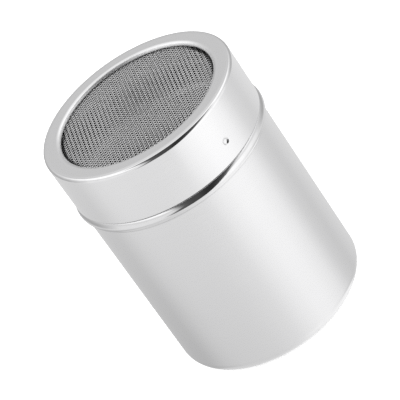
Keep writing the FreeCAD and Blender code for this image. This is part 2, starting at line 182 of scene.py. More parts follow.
class ShakerLidSizes(bpy.types.PropertyGroup):
    sheet: length("Sheet", "Thickness of the lid's sheet", 0.5)
    skirt_radius: length("Skirt radius", "Outside radius of the skirt", 35.0)
    shoulder_corner: length("Shoulder corner", "Radius where the skirt turns in", 1.1)
    shoulder_roll: length("Shoulder roll", "Radius of the easing on to the flat rim", 9.0)
    shoulder_width: length("Shoulder width", "From the skirt in to the flat rim", 2.3)
    hole_radius: length("Hole radius", "Radius of the pour hole", 28.38)
    crown_width: length("Crown width", "From the pour hole out to the flat rim", 1.73)
    crown_roll: length("Crown roll", "Radius of the rim's fall towards the pour hole", 2.6)
    lip_depth: length("Lip depth", "How far the pour hole's edge is turned down", 1.35)
    lip_fold: length("Lip fold", "Inside radius of the pour hole's edge", 0.3)
    dimple_azimuth: turn("Dimple azimuth", "Direction of the front dimple from +X", -61.7)
    dimple_level: length("Dimple level", "Height of the dimples", 80.12)
    dimple_depth: length("Dimple depth", "How deep the dimples are pressed", 0.5)
    dimple_radius: length("Dimple radius", "From a dimple's middle to its edge", 1.3)
    dimple_floor: length("Dimple floor", "Radius of a dimple's flat floor", 0.7)


class ShakerScreenSizes(bpy.types.PropertyGroup):
    warp_pitch: length("Warp pitch", "Distance from one warp wire to the next", 1.02)
    weft_pitch: length("Weft pitch", "Distance from one weft wire to the next", 0.973)
    warp_wire: length("Warp wire", "Diameter of a warp wire", 0.29)
    weft_wire: length("Weft wire", "Diameter of a weft wire", 0.27)
    warp_turn: turn("Warp turn", "Direction of the warp wires from +X", 38.2)
    weft_turn: turn("Weft turn", "Direction of the weft wires from +X", 125.9)
    ring_sheet: length("Ring sheet", "Thickness of the clamping ring", 0.5)
    ring_fold: length("Ring fold", "Inside radius of the ring's bend", 0.25)


class ShakerFinish(bpy.types.PropertyGroup):
    lid_colour: colour("Lid steel", "Colour of the lid's polished sheet", (0.81, 0.81, 0.815))
    can_colour: colour("Can steel", "Colour of the can's polished sheet", (0.78, 0.78, 0.785))
    ring_colour: colour("Ring steel", "Colour of the ring's plain sheet", (0.70, 0.70, 0.705))
    wire_colour: colour("Wire steel", "Colour of the screen's wires", (0.93, 0.93, 0.935))
    lid_roughness: share("Lid roughness", "Roughness of the lid's polish", 0.085)
    can_roughness: share("Can roughness", "Roughness of the can's polish", 0.095)
    ring_roughness: share("Ring roughness", "Roughness of the ring's sheet", 0.32)
    wire_roughness: share("Wire roughness", "Roughness of the drawn wires", 0.38)


class ShakerStudio(bpy.types.PropertyGroup):
    lens: length("Lens", "Focal length on a 36 mm sensor", 226.2)
    distance: length("Distance", "From the camera to the point it looks at", 832.8)
    elevation: turn("Elevation", "The camera's height above the horizon", 31.34)
    roll: turn("Roll", "How far the camera is rolled", -34.93)
    floor_colour: colour("Floor", "Colour of the floor", (0.93, 0.93, 0.93))
    floor_lift: share("Floor lift", "Light that the floor gains for the camera alone", 0.42)


# Sections of sheet, as points of radius and height


def arc(middle, radius, first, last, step):
    """Points along an arc from one direction to another, at most a step apart, all in degrees."""
    count = max(2, math.ceil(abs(last - first) / step))
    turns = np.radians(np.linspace(first, last, count + 1))
    return [(middle[0] + radius * math.cos(t), middle[1] + radius * math.sin(t)) for t in turns]


def straight(start, end, pitch=None, hold=EDGE_HOLD):
    """Points inside a straight stretch: one close to each end, and others at a pitch."""
    start, end = np.array(start), np.array(end)
    reach = float(np.linalg.norm(end - start))
    if reach <= 2.5 * hold:
        return []
    stops = [hold, reach - hold]
    if pitch:
        stops += list(np.linspace(hold, reach - hold, math.ceil(reach / pitch) + 1)[1:-1])
    return [tuple(start + (end - start) * stop / reach) for stop in sorted(stops)]


def chain(*parts):
    """A section through arcs, joined by straight stretches where a pitch stands between them."""
    points = list(parts[0])
    for i, part in enumerate(parts[1:], start=1):
        if part is None or isinstance(part, float):
            points += straight(points[-1], parts[i + 1][0], part)
        else:
            points += part
    return points


def can_wall(sizes, depth):
    """The can's section at a depth in its sheet, from the axis to below the rim."""
    fold, panel = sizes.panel_fold, sizes.panel_radius
    swing = math.degrees(math.acos(1 - sizes.panel_depth / (2 * fold)))
    foot = panel + 2 * fold * math.sin(math.radians(swing))
    wall, neck, corner = sizes.wall_radius, sizes.neck_radius, sizes.base_corner
    root, bead, middle = sizes.bead_root, sizes.bead_radius, sizes.bead_middle
    reach = root + bead
    below = math.sqrt(reach ** 2 - (wall + root - middle) ** 2)
    above = math.sqrt(reach ** 2 - (neck + root - middle) ** 2)
    low_turn = math.degrees(math.atan2(below, middle - wall - root))
    high_turn = math.degrees(math.atan2(above, neck + root - middle))
    rim = CAN_HIGH.z - sizes.sheet / 2
    return chain(
        [(0.0, sizes.panel_depth + depth)],
        LONG_PITCH,
        arc((panel, sizes.panel_depth - fold), fold + depth, QUARTER, QUARTER - swing, step=9.0),
        arc((foot, fold), fold - depth, 3 * QUARTER - swing, 3 * QUARTER, step=9.0),
        None,
        arc((wall - corner, corner), corner - depth, 3 * QUARTER, FULL, step=6.0),
        LONG_PITCH,
        arc((wall + root, sizes.bead_level - below), root + depth, HALF, low_turn, step=14.0),
        arc((middle, sizes.bead_level), bead - depth, low_turn - HALF, high_turn, step=6.0),
        arc((neck + root, sizes.bead_level + above), root + depth, high_turn + HALF, HALF,
            step=14.0),
        NECK_PITCH,
        [(neck - depth, rim)],
    )


def cap_wall(sizes, depth):
    """The lid's section at a depth in its sheet, from the skirt's edge to the end of the lip."""
    outer, top = sizes.skirt_radius, LID_HIGH.z
    corner, roll = sizes.shoulder_corner, sizes.shoulder_roll
    flat_end = outer - sizes.shoulder_width
    lean = math.degrees(math.asin((outer - corner - flat_end) / (roll - corner)))
    corner_level = top - roll + (roll - corner) * math.cos(math.radians(lean))
    fold = sizes.lip_fold + sizes.sheet
    hole, crown = sizes.hole_radius, sizes.crown_roll
    crown_start = hole + sizes.crown_width
    dip = math.degrees(math.asin((crown_start - hole - fold) / (crown - fold)))
    fold_level = top - crown + (crown - fold) * math.cos(math.radians(dip))
    half = sizes.sheet / 2
    return chain(
        [(outer - depth, LID_LOW.z + half)],
        DIMPLE_PITCH,
        [(outer - depth, sizes.dimple_level + DIMPLE_ROOM)],
        SKIRT_PITCH,
        arc((outer - corner, corner_level), corner - depth, 0.0, QUARTER - lean, step=5.0),
        arc((flat_end, top - roll), roll - depth, QUARTER - lean, QUARTER, step=3.0),
        None,
        arc((crown_start, top - crown), crown - depth, QUARTER, QUARTER + dip, step=4.0),
        arc((hole + fold, fold_level), fold - depth, QUARTER + dip, HALF, step=8.0)[1:],
        None,
        [(hole + depth, top - sizes.lip_depth + half)],
    )


def ring_wall(sizes, depth):
    """The clamping ring's section at a depth in its sheet, from its bore to its hem."""
    sheet = sizes.ring_sheet
    bend = sizes.ring_fold + sheet
    outer = RING_HIGH.x
    return chain(
        [(RING_BORE + sheet / 2, RING_HIGH.z - depth)],
        None,
        arc((outer - bend, RING_HIGH.z - bend), bend - depth, QUARTER, 0.0, step=9.0),
        None,
        [(outer - depth, RING_LOW.z + sheet / 2)],
    )


def sheet_section(wall, sizes, sheet, start_round, end_round):
    """A closed section: along one face, round the end, back along the other, round the start.
    It comes with the number of its points on the first face."""
    outside, inside = wall(sizes, 0.0), wall(sizes, sheet)
    points = list(outside)
    points += edge_round(outside[-1], inside[-1], end_round)
    points += list(reversed(inside))
    if start_round is not None:
        points += edge_round(inside[0], outside[0], start_round)
    return points, len(outside)


def edge_round(start, end, direction):
    """The points of a half round between a sheet's two faces, bulging in a direction in degrees."""
    middle = ((start[0] + end[0]) / 2, (start[1] + end[1]) / 2)
    radius = math.dist(start, end) / 2
    first = math.degrees(math.atan2(start[1] - middle[1], start[0] - middle[0]))
    sweep = HALF if math.isclose(math.cos(math.radians(first + QUARTER - direction)), 1.0,
                                 abs_tol=0.1) else -HALF
    return arc(middle, radius, first, first + sweep, HALF_ROUND_STEP)[1:-1]


# Meshes


def new_object(name, vertices, faces, maps=None, **values):
    """A smooth mesh object from points and faces, with a map and named values, one a point."""
    mesh = bpy.data.meshes.new(name)
    mesh.from_pydata([tuple(v) for v in vertices], [], faces)
    mesh.shade_smooth()
    if maps is not None:
        layer = mesh.uv_layers.new(name="OFBake")
        layer.uv.foreach_set("vector", np.asarray(maps, np.float32).ravel())
    for label, numbers in values.items():
        layer = mesh.attributes.new(label, "FLOAT", "POINT")
        layer.data.foreach_set("value", np.asarray(numbers, np.float32))
    mesh.validate()
    thing = bpy.data.objects.new(name, mesh)
    bpy.context.scene.collection.objects.link(thing)
    return thing


def azimuths(dense, reach):
    """Directions right round the axis in degrees, closer together near the ones named."""
    coarse = list(np.arange(-HALF, HALF, TURN_STEP))
    offsets = np.arange(-reach, reach + FINE_STEP / 2, FINE_STEP)
    fine = [d + offset for d in dense for offset in offsets]
    kept = [a for a in coarse if all(abs(turns_apart(a, d)) > reach + FINE_CLEAR for d in dense)]
    wrapped = [turns_apart(a, 0.0) for a in fine]
    return np.array(sorted(kept + wrapped))


def turned(name, section, directions, press=None, outside=None, polished=None):
    """A section turned right round the axis.  press gives how far each point moves outwards.
    outside tells how many points at the section's start lie on the sheet's outer face, and
    polished how many of those are polished."""
    section = np.array(section)
    if section[0][0] > 0:
        section = np.vstack([section, section[:1]])
    steps = np.linalg.norm(np.diff(section, axis=0), axis=1)
    along = np.concatenate([[0.0], np.cumsum(steps)]) / steps.sum()
    closed = bool(np.allclose(section[0], section[-1]))
    rows = len(section) - 1 if closed else len(section)
    turns = np.radians(directions)
    count = len(directions)

    # inner is the share of painted shade on the sheet's inner faces, smaller at bends so that a
    # painted light shows in the bead's groove
    vertices, worn, inner, dull, first = [], [], [], [], []
    bends = bend_of(section, closed)
    outside = rows if outside is None else outside
    polished = outside if polished is None else polished
    for row in range(rows):
        radius, height = section[row]
        first.append(len(vertices))
        if radius == 0:
            vertices.append((0.0, 0.0, height))
            worn.append(0.0)
            inner.append(float(row >= outside) * (1 - bends[row]))
            dull.append(float(row >= polished))
            continue
        radii = np.full(count, radius)
        if press is not None:
            radii = radii + press(radius, height, directions)
        vertices += zip(radii * np.cos(turns), radii * np.sin(turns), np.full(count, height))
        worn += [bends[row]] * count
        inner += [float(row >= outside) * (1 - bends[row])] * count
        dull += [float(row >= polished)] * count

    wide = np.append(directions, directions[0] + FULL)
    across = (wide - wide[0]) / FULL
    faces, maps = [], []
    for row in range(len(section) - 1):
        low, high = first[row], first[(row + 1) % rows]
        for i in range(count):
            j = (i + 1) % count
            left, right = across[i], across[i + 1]
            start, end = along[row], along[row + 1]
            if section[row][0] == 0:
                faces.append((low, high + j, high + i))
                maps += [((left + right) / 2, start), (right, end), (left, end)]
            elif section[row + 1][0] == 0:
                faces.append((low + i, low + j, high))
                maps += [(left, start), (right, start), ((left + right) / 2, end)]
            else:
                faces.append((low + i, low + j, high + j, high + i))
                maps += [(left, start), (right, start), (right, end), (left, end)]
    return new_object(name, vertices, faces, maps, worn=worn, inner=inner, dull=dull)


def bend_of(section, closed):
    """How sharply a section turns outwards at each point, from 0 to 1."""
    if closed:
        around = np.vstack([section[-2], section[:-1], section[0]])
    else:
        around = np.vstack([section[0], section, section[-1]])
    ahead, behind = around[2:] - around[1:-1], around[1:-1] - around[:-2]
    cross = behind[:, 0] * ahead[:, 1] - behind[:, 1] * ahead[:, 0]
    size = np.linalg.norm(ahead, axis=1) + np.linalg.norm(behind, axis=1)
    swing = np.abs(np.arctan2(cross, (ahead * behind).sum(1)))
    sharpness = 2 * swing / np.maximum(size, 1e-9)
    return np.clip(sharpness / SHARP_BEND, 0, 1)


def turns_apart(directions, other):
    """How far each direction is from another, in degrees, the short way round."""
    return (directions - other + HALF) % FULL - HALF


def dimple_directions(sizes):
    """The azimuths of the dimples in degrees."""
    return [math.degrees(sizes.dimple_azimuth) + FULL * i / DIMPLES for i in range(DIMPLES)]


def lid_press(sizes):
    """How far the skirt's sheet is pressed in at the dimples."""
    outer, sheet = sizes.skirt_radius, sizes.sheet
    wide, flat = sizes.dimple_radius, sizes.dimple_floor

    def press(radius, height, directions):
        moved = np.zeros(len(directions))
        if radius < outer - 1.5 * sheet or abs(height - sizes.dimple_level) > 2 * wide:
            return moved
        spread = 0.0 if radius > outer - sheet / 2 else DIMPLE_SPREAD
        for azimuth in dimple_directions(sizes):
            sideways = np.radians(turns_apart(directions, azimuth)) * radius
            apart = np.hypot(sideways, height - sizes.dimple_level)
            share = np.clip((apart - flat - spread) / (wide - flat), 0, 1)
            moved -= sizes.dimple_depth * (1 - share * share * (3 - 2 * share))
        return moved

    return press


def can_press(sizes, lid):
    """How far the neck's sheet is rolled out along the thread's ridges."""
    rise = sizes.thread_lead * sizes.ridge_turn / math.tau
    high = CAN_HIGH.z - sizes.ridge_drop
    reach = sizes.neck_radius * sizes.ridge_turn
    slope = Vector((reach, rise))

    def press(radius, height, directions):
        moved = np.zeros(len(directions))
        if height < high - rise - 2 * MM or height > high + 2 * MM:
            return moved
        if radius > sizes.neck_radius - sizes.sheet / 2:
            size, width = sizes.ridge_height, sizes.ridge_reach
        else:
            size, width = sizes.hollow_height, sizes.hollow_reach
        for azimuth in dimple_directions(lid):
            start = azimuth - math.degrees(sizes.ridge_behind)
            middle = start + math.degrees(sizes.ridge_turn) / 2
            sideways = np.radians(turns_apart(directions, middle)) * sizes.neck_radius + reach / 2
            upwards = height - (high - rise)
            along = (sideways * slope.x + upwards * slope.y) / slope.length_squared
            along = np.clip(along, 0, 1)
            apart = np.hypot(sideways - along * slope.x, upwards - along * slope.y)
            moved += size * np.cos(np.minimum(apart / width, 1) * math.pi / 2) ** 2
        return moved

    return press


def wire_rows(pitch, radius):
    """The offsets of wires across a disc, with half the length of each."""
    count = int(radius / pitch)
    for i in range(-count, count + 1):
        offset = i * pitch
        yield i, offset, math.sqrt(radius ** 2 - offset ** 2)


def woven_wires(name, pitch, other_pitch, wires, radius, level, direction, sign, tones):
    """One set of wires of a plain weave, each going over and under the other set.  wires are the
    radii of the set's own wires and of the other set's, and tones the range of its brightness:
    each wire draws its brightness at random, inside a range of painted highlight for one set
    and of painted shade for the other."""
    wire, other = wires
    sides = WIRE_CORNERS
    ring = np.radians((np.arange(sides) + 0.5) * FULL / sides)
    vertices, faces, maps, tone = [], [], [], []
    rows = list(wire_rows(pitch, radius - wire))
    draw = np.random.default_rng(WEAVE_SEED + int(sign))
    spin = Matrix.Rotation(direction, 3, "Z")
    side_way, up_way = spin @ Vector((0, 1, 0)), Vector((0, 0, 1))
    run_way = spin @ Vector((1, 0, 0))
    for row, (i, offset, half) in enumerate(rows):
        steps = max(WAVE_STEPS, math.ceil(2 * half / (other_pitch / WAVE_STEPS)))
        run = np.linspace(-half, half, steps + 1)
        swing = sign * (-1) ** i * (wire + other) / 2
        phase = math.pi * run / other_pitch
        rise = swing * np.cos(phase)
        slope = -swing * math.pi / other_pitch * np.sin(phase)
        drift = STRAY_SHARE * pitch * np.sin(run / STRAY_LENGTH + draw.uniform(0, math.tau))
        own_tone = draw.uniform(*tones)
        base = len(vertices)
        for x, z, tilt, shift in zip(run, rise, slope, drift):
            lean = math.atan(tilt)
            for t in ring:
                across, lift = wire * math.cos(t), wire * math.sin(t)
                vertices.append(run_way * (x - lift * math.sin(lean))
                                + side_way * (offset + shift + across)
                                + up_way * (level + z + lift * math.cos(lean)))
                tone.append(own_tone)
        for k in range(steps):
            for s in range(sides):
                n = (s + 1) % sides
                a, b = base + k * sides, base + (k + 1) * sides
                faces.append((a + s, b + s, b + n, a + n))
                left, right = (run[k] / radius + 1) / 2, (run[k + 1] / radius + 1) / 2
                low, high = (row + s / sides) / len(rows), (row + (s + 1) / sides) / len(rows)
                maps += [(left, low), (right, low), (right, high), (left, high)]
        for end, order in ((0, 1), (steps, -1)):
            faces.append(tuple(base + end * sides + s for s in range(sides))[::order])
            maps += [((run[end] / radius + 1) / 2, (row + s / sides) / len(rows))
                     for s in range(sides)]
    return new_object(name, vertices, faces, maps, tone=tone)


# Shader groups, each built once and used by several finishes


def add_node(tree, kind, inputs=None, **settings):
    """A node with its settings, and its inputs set or linked."""
    made = tree.nodes.new(kind)
    for key, setting in settings.items():
        setattr(made, key, setting)
    for key, source in (inputs or {}).items():
        socket = made.inputs[key]
        if isinstance(source, bpy.types.NodeSocket):
            tree.links.new(source, socket)
        else:
            socket.default_value = source
    return made


def maths(tree, operation, *terms):
    """The result of one Math node."""
    return add_node(tree, "ShaderNodeMath", dict(enumerate(terms)), operation=operation).outputs[0]


def ranged(tree, source, low, high, to_low=0.0, to_high=1.0, smooth=False):
    """A value moved from one range to another, and kept inside it."""
    made = add_node(tree, "ShaderNodeMapRange", {
        "Value": source, "From Min": low, "From Max": high, "To Min": to_low, "To Max": to_high},
        interpolation_type="SMOOTHSTEP" if smooth else "LINEAR")
    return made.outputs["Result"]


def new_group(name, inputs, outputs):
    """An empty shader group with named float sockets."""
    group = bpy.data.node_groups.new(name, "ShaderNodeTree")
    for label, default in inputs.items():
        socket = group.interface.new_socket(label, in_out="INPUT", socket_type="NodeSocketFloat")
        socket.default_value = default
    for label in outputs:
        group.interface.new_socket(label, in_out="OUTPUT", socket_type="NodeSocketFloat")
    return group, group.nodes.new("NodeGroupInput"), group.nodes.new("NodeGroupOutput")


def polish_lines():
    """Fine lines round the axis, left by polishing the turning sheet."""
    if "polish_lines" in bpy.data.node_groups:
        return bpy.data.node_groups["polish_lines"]
    group, given, result = new_group(
        "polish_lines", {"Lines per mm": 6.0, "Breaks": 3.0}, ("Height", "Streak"))
    place = add_node(group, "ShaderNodeTexCoord").outputs["Object"]
    apart = add_node(group, "ShaderNodeSeparateXYZ", {0: place})
    flat = add_node(group, "ShaderNodeCombineXYZ", {0: apart.outputs[0], 1: apart.outputs[1]})
    radius = add_node(group, "ShaderNodeVectorMath", {0: flat.outputs[0]},
                      operation="LENGTH").outputs["Value"]
    around = add_node(group, "ShaderNodeVectorMath", {0: flat.outputs[0]}, operation="NORMALIZE")
    round_parts = add_node(group, "ShaderNodeSeparateXYZ", {0: around.outputs[0]})
    density = maths(group, "MULTIPLY", given.outputs["Lines per mm"], 1 / MM)
    lines = add_node(group, "ShaderNodeCombineXYZ", {
        0: maths(group, "MULTIPLY", radius, density),
        1: maths(group, "MULTIPLY", apart.outputs[2], density),
        2: maths(group, "MULTIPLY", round_parts.outputs[0], given.outputs["Breaks"])})
    noise = add_node(group, "ShaderNodeTexNoise", {
        "Vector": lines.outputs[0],
        "W": maths(group, "MULTIPLY", round_parts.outputs[1], given.outputs["Breaks"]),
        "Scale": 1.0, "Detail": 3.0, "Roughness": 0.6}, noise_dimensions="4D")
    group.links.new(noise.outputs["Fac"], result.inputs["Height"])
    group.links.new(ranged(group, noise.outputs["Fac"], 0.35, 0.65), result.inputs["Streak"])
    return group


def handling_marks():
    """Faint wipe marks and clouding, as handled steel has."""
    if "handling_marks" in bpy.data.node_groups:
        return bpy.data.node_groups["handling_marks"]
    group, given, result = new_group(
        "handling_marks", {"Size": 14.0 * MM, "Contrast": 0.5}, ("Marks", "Specks"))
    place = add_node(group, "ShaderNodeTexCoord").outputs["Object"]
    scale = maths(group, "DIVIDE", 1.0, given.outputs["Size"])
    clouds = add_node(group, "ShaderNodeTexNoise", {
        "Vector": place, "Scale": scale, "Detail": 5.0, "Roughness": 0.62, "Distortion": 0.8})
    spread = maths(group, "SUBTRACT", clouds.outputs["Fac"], 0.5)
    marks = maths(group, "MULTIPLY_ADD", spread, given.outputs["Contrast"], 0.5)
    fine = add_node(group, "ShaderNodeTexNoise", {
        "Vector": place, "Scale": maths(group, "MULTIPLY", scale, 30.0), "Detail": 2.0})
    group.links.new(marks, result.inputs["Marks"])
    group.links.new(ranged(group, fine.outputs["Fac"], 0.66, 0.78), result.inputs["Specks"])
    return group


def rubbed_edges_and_lit_groove():
    """Where edges and bends are rubbed bright, broken up a little.  Inside, the same mask lifts the
    painted shade of the inner faces, a painted light in the bead's groove.
    """
    if "rubbed_edges_and_lit_groove" in bpy.data.node_groups:
        return bpy.data.node_groups["rubbed_edges_and_lit_groove"]
    group, given, result = new_group("rubbed_edges_and_lit_groove", {"Amount": 0.6}, ("Mask",))
    bends = add_node(group, "ShaderNodeAttribute", attribute_name="worn").outputs["Fac"]
    place = add_node(group, "ShaderNodeTexCoord").outputs["Object"]
    broken = add_node(group, "ShaderNodeTexNoise", {
        "Vector": place, "Scale": 0.4 / MM, "Detail": 3.0}).outputs["Fac"]
    patchy = ranged(group, broken, 0.3, 0.6)
    mask = maths(group, "MULTIPLY", maths(group, "MULTIPLY", bends, patchy),
                 given.outputs["Amount"])
    group.links.new(mask, result.inputs["Mask"])
    return group


def lip_seam_painted_shadow():
    """A painted shadow on the screen along the lip, on the two sides of the pour hole, where shade
    falls in the seam between the lip and the screen.
    """
    if "lip_seam_painted_shadow" in bpy.data.node_groups:
        return bpy.data.node_groups["lip_seam_painted_shadow"]
    group, given, result = new_group(
        "lip_seam_painted_shadow", {"Start": 26.9 * MM, "Full": 27.9 * MM, "Amount": 0.95, "Middle": 1.0 * MM,
                      "Reach": 16.0 * MM, "Fade": 7.0 * MM}, ("Mask",))
    place = add_node(group, "ShaderNodeTexCoord").outputs["Object"]
    flat = add_node(group, "ShaderNodeVectorMath", {0: place, 1: (1.0, 1.0, 0.0)},
                    operation="MULTIPLY").outputs["Vector"]
    radius = add_node(group, "ShaderNodeVectorMath", {0: flat}, operation="LENGTH").outputs["Value"]
    patches = add_node(group, "ShaderNodeTexNoise", {
        "Vector": place, "Scale": 0.25 / MM, "Detail": 3.0}).outputs["Fac"]
    uneven = maths(group, "MULTIPLY_ADD", patches, 0.5 * MM, -0.25 * MM)
    edge = ranged(group, maths(group, "ADD", radius, uneven),
                  given.outputs["Start"], given.outputs["Full"], smooth=True)
    along = add_node(group, "ShaderNodeSeparateXYZ", {0: place}).outputs["Y"]
    apart = maths(group, "ABSOLUTE", maths(group, "SUBTRACT", along, given.outputs["Middle"]))
    sides = maths(group, "DIVIDE", maths(group, "SUBTRACT", given.outputs["Reach"], apart),
                  given.outputs["Fade"])
    mask = maths(group, "MULTIPLY", edge, ranged(group, sides, 0.0, 1.0, smooth=True))
    group.links.new(maths(group, "MULTIPLY", mask, given.outputs["Amount"]), result.inputs["Mask"])
    return group


def new_material(name):
    """A material with an empty tree, and its output node."""
    material = bpy.data.materials.new(name)
    material.use_nodes = True
    tree = material.node_tree
    tree.nodes.clear()
    return material, tree, tree.nodes.new("ShaderNodeOutputMaterial")


def mixed(tree, mask, one, other):
    """One colour passing into another by a mask."""
    made = add_node(tree, "ShaderNodeMix", {0: mask, 6: one, 7: other}, data_type="RGBA")
    return made.outputs[2]


def shade(rgb, factor):
    """A colour made darker or lighter, with full alpha."""
    return tuple(min(c * factor, 1.0) for c in rgb) + (1.0,)


def sheet_steel(name, rgb, roughness, lines=6.0, line_depth=0.35, marks=0.5, rub=0.6):
    """Polished stainless sheet with lines round the axis, wipe marks and rubbed bends.  Its inner
    faces carry painted shade, lifted at the bends to paint a light arc in the bead's groove,
    and it is unpolished where the mesh says so."""
    material, tree, output = new_material(name)
    polish = add_node(tree, "ShaderNodeGroup", node_tree=polish_lines())
    polish.inputs["Lines per mm"].default_value = lines
    handled = add_node(tree, "ShaderNodeGroup", node_tree=handling_marks())
    handled.inputs["Contrast"].default_value = marks
    rubbed = add_node(tree, "ShaderNodeGroup", node_tree=rubbed_edges_and_lit_groove())
    rubbed.inputs["Amount"].default_value = rub

    body = mixed(tree, handled.outputs["Marks"], *(shade(rgb, part) for part in CLOUD_SHADES))
    lined = mixed(tree, maths(tree, "MULTIPLY", polish.outputs["Streak"], 0.5),
                  body, shade(rgb, LINE_SHADE))
    bright = mixed(tree, rubbed.outputs["Mask"], lined, shade(rgb, RUB_SHADE))
    # The inner faces get painted shade, inside the can and under the lid
    inside = add_node(tree, "ShaderNodeAttribute", attribute_name="inner").outputs["Fac"]
    # Where the edges are rubbed, the painted shade is lifted, a painted light in the bead's groove
    painted_shade_kept = maths(tree, "MULTIPLY_ADD", rubbed.outputs["Mask"], -1.0, 1.0)
    whole = mixed(tree, maths(tree, "MULTIPLY", inside, painted_shade_kept), bright, shade(rgb, INNER_PAINTED_SHADE))
    unpolished = add_node(tree, "ShaderNodeAttribute", attribute_name="dull").outputs["Fac"]

    dull = maths(tree, "MULTIPLY_ADD", handled.outputs["Marks"], CLOUD_DULL,
                 roughness - CLOUD_DULL / 2)
    for source, more in ((polish.outputs["Streak"], LINE_DULL),
                         (handled.outputs["Specks"], SPECK_DULL),
                         (rubbed.outputs["Mask"], RUB_DULL), (unpolished, LIP_DULL)):
        dull = maths(tree, "MULTIPLY_ADD", source, more, dull)

    bump = add_node(tree, "ShaderNodeBump", {
        "Height": polish.outputs["Height"], "Strength": line_depth, "Distance": LINE_HEIGHT})
    steel = add_node(tree, "ShaderNodeBsdfPrincipled", {
        "Base Color": whole, "Metallic": 1.0, "Roughness": dull,
        "Normal": bump.outputs["Normal"]})
    tree.links.new(steel.outputs[0], output.inputs[0])
    return material


def drawn_wire(name, rgb, roughness):
    """Fine drawn wire: each wire with its own brightness, painted highlight on the warp and painted
    shade on the weft, with cloudy spots, and a painted shadow along the lip.
    """
    material, tree, output = new_material(name)
    tone = add_node(tree, "ShaderNodeAttribute", attribute_name="tone").outputs["Fac"]
    handled = add_node(tree, "ShaderNodeGroup", node_tree=handling_marks())
    handled.inputs["Size"].default_value = 6.0 * MM
    handled.inputs["Contrast"].default_value = 0.8
    # Each wire's brightness runs from painted shade on the weft to painted highlight on the warp
    own = mixed(tree, tone, *(shade(rgb, part) for part in WIRE_PAINTED_SHADE_TO_LIGHT))
    clouded = mixed(tree, maths(tree, "MULTIPLY", handled.outputs["Marks"], 0.5), own,
                    shade(rgb, WIRE_CLOUD_SHADE))
    # A painted shadow on the screen along the lip, where shade falls in the seam between lip and
    # screen
    lip_shadow = add_node(tree, "ShaderNodeGroup", node_tree=lip_seam_painted_shadow())
    lip_shadowed = mixed(tree, lip_shadow.outputs["Mask"], clouded, shade(rgb, LIP_PAINTED_SHADOW))
    dull = maths(tree, "MULTIPLY_ADD", handled.outputs["Marks"], WIRE_CLOUD_DULL,
                 roughness - WIRE_CLOUD_DULL / 2)
    steel = add_node(tree, "ShaderNodeBsdfPrincipled", {
        "Base Color": lip_shadowed, "Metallic": 1.0, "Roughness": dull})
    tree.links.new(steel.outputs[0], output.inputs[0])
    return material


# Operators, one for each piece


def dress(thing, body, node, material):
    """Gives a finished piece its material in a slot and its body, and hides the part it stands
    in for.
    """
    thing.data.materials.append(material)
    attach(thing, body)
    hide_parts(node)


class SHAKER_OT_can(bpy.types.Operator):
    """Spin the can's sheet with its base panel, bead, neck and ridges"""

    bl_idname = "shaker.can"
    bl_label = "Can"

    def execute(self, context):
        sizes, lid = context.scene.shaker_can, context.scene.shaker_lid
        finish = context.scene.shaker_finish
        section, outside = sheet_section(can_wall, sizes, sizes.sheet, None, QUARTER)
        can = turned("can_sheet", section, azimuths([], 0), can_press(sizes, lid), outside)
        dress(can, "can", "can_body",
              sheet_steel("can_polish", finish.can_colour, finish.can_roughness))
        return {"FINISHED"}


class SHAKER_OT_lid(bpy.types.Operator):
    """Spin the lid's sheet and press its dimples"""

    bl_idname = "shaker.lid"
    bl_label = "Lid"

    def execute(self, context):
        sizes, finish = context.scene.shaker_lid, context.scene.shaker_finish
        section, outside = sheet_section(cap_wall, sizes, sizes.sheet, 3 * QUARTER, 3 * QUARTER)
        directions = azimuths(dimple_directions(sizes), FINE_REACH)
        lip = sizes.hole_radius + LIP_DULL_REACH
        polished = sum(radius > lip for radius, _ in section[:outside])
        lid = turned("lid_sheet", section, directions, lid_press(sizes), outside, polished)
        dress(lid, "lid", "lid_cap",
              sheet_steel("lid_polish", finish.lid_colour, finish.lid_roughness))
        return {"FINISHED"}


class SHAKER_OT_ring(bpy.types.Operator):
    """Spin the ring that clamps the screen"""

    bl_idname = "shaker.ring"
    bl_label = "Clamping ring"

    def execute(self, context):
        sizes, finish = context.scene.shaker_screen, context.scene.shaker_finish
        section, _ = sheet_section(ring_wall, sizes, sizes.ring_sheet, HALF, 3 * QUARTER)
        ring = turned("clamp_ring", section, azimuths([], 0))
        dress(ring, "screen", "screen_ring",
              sheet_steel("ring_sheet", finish.ring_colour, finish.ring_roughness,
                          lines=3.0, marks=0.8))
        return {"FINISHED"}


class SHAKER_OT_screen(bpy.types.Operator):
    """Weave the screen from two sets of wires"""

    bl_idname = "shaker.screen"
    bl_label = "Screen"

    def execute(self, context):
        sizes, finish = context.scene.shaker_screen, context.scene.shaker_finish
        level = (SCREEN_LOW.z + SCREEN_HIGH.z) / 2
        steel = drawn_wire("screen_wires", finish.wire_colour, finish.wire_roughness)
        warp, weft = sizes.warp_wire / 2, sizes.weft_wire / 2
        # The ranges of tones paint the warp lit and the weft shaded
        sets = (
            woven_wires("screen_warp", sizes.warp_pitch, sizes.weft_pitch, (warp, weft),
                        SCREEN_HIGH.x, level, sizes.warp_turn, 1, WARP_LIT_TONES),
            woven_wires("screen_weft", sizes.weft_pitch, sizes.warp_pitch, (weft, warp),
                        SCREEN_HIGH.x, level, sizes.weft_turn, -1, WEFT_SHADED_TONES),
        )
        for wires in sets:
            dress(wires, "screen", "mesh_screen", steel)
        return {"FINISHED"}


def tone_ramp(tree, source, low, high, tones):
    """A strength that follows a value, through pairs of that value and the strength there."""
    ramp = add_node(tree, "ShaderNodeValToRGB", {0: ranged(tree, source, low, high)})
    ramp.color_ramp.interpolation = "CARDINAL"
    stops = ramp.color_ramp.elements
    stops.remove(stops[-1])
    stops[0].position = 0.0
    for i, (place, strength) in enumerate(tones):
        stop = stops.new((place - low) / (high - low)) if i else stops[0]
        stop.color = (strength / TENT_TOP,) * 3 + (1.0,)
    return maths(tree, "MULTIPLY", ramp.outputs[0], TENT_TOP)


